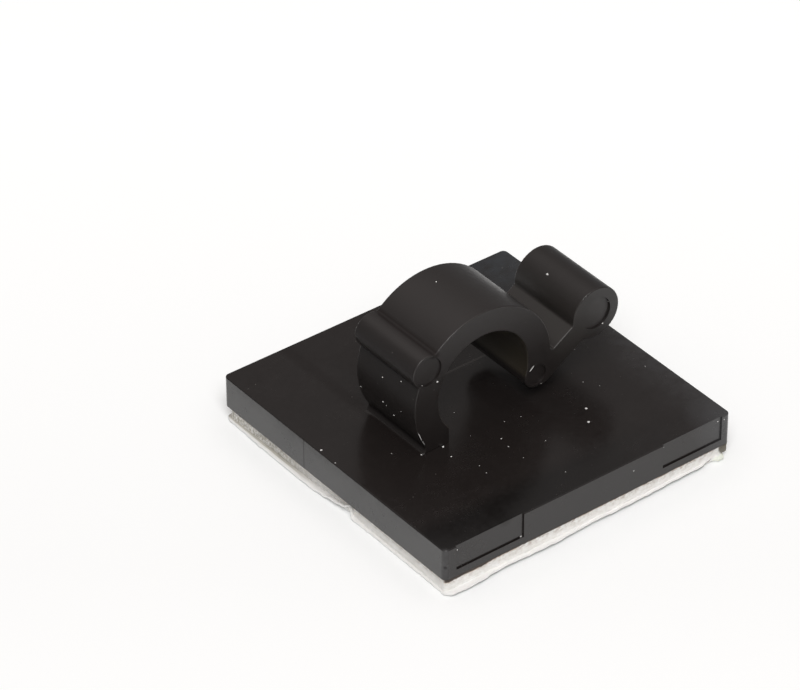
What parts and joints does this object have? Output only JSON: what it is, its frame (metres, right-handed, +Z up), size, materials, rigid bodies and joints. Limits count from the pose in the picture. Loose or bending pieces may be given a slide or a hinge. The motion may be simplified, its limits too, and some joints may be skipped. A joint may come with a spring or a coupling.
{
  "type": "adhesive cable clip",
  "caption": "Self-adhesive cable clip: square foam-backed plate with an open C-shaped ring and a springy finger lever that a round cable snaps under.",
  "frame": {"origin": "middle of the underside of the release liner, where the clip stands on a surface", "axes": "+Z up, away from the surface it is stuck to; +Y along the bore and the cable; +X from the post towards the finger roll"},
  "size_m": [0.0254, 0.0254, 0.0136],
  "materials": {
    "black_nylon": "glossy black as moulded",
    "white_foam": "matt white closed-cell foam",
    "white_liner": "matt white coated paper"
  },
  "bodies": {
    "root": {"clip_body": "black_nylon", "foam_tape": "white_foam", "release_liner": "white_liner"}
  },
  "joints": []
}
